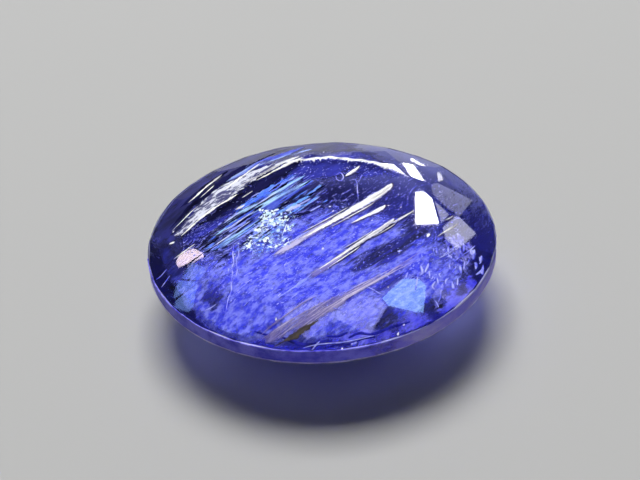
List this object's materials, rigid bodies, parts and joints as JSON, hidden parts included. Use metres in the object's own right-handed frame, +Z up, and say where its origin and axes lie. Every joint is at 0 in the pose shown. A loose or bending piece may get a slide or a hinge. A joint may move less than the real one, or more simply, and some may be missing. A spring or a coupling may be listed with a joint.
{
  "type": "oval faceted tanzanite gemstone",
  "caption": "Shallow oval cut and polished blue-violet tanzanite, clear with needle inclusions, resting on a small flat base.",
  "frame": {"origin": "centre of the small flat base at the bottom of the pavilion", "axes": "+X along the oval's long axis, +Y along its short axis, +Z up out of the table"},
  "size_m": [0.012, 0.0104, 0.0034],
  "materials": {
    "tanzanite": "polished facets, clear blue-violet crystal"
  },
  "bodies": {
    "root": {"tanzanite": "tanzanite"}
  },
  "joints": []
}
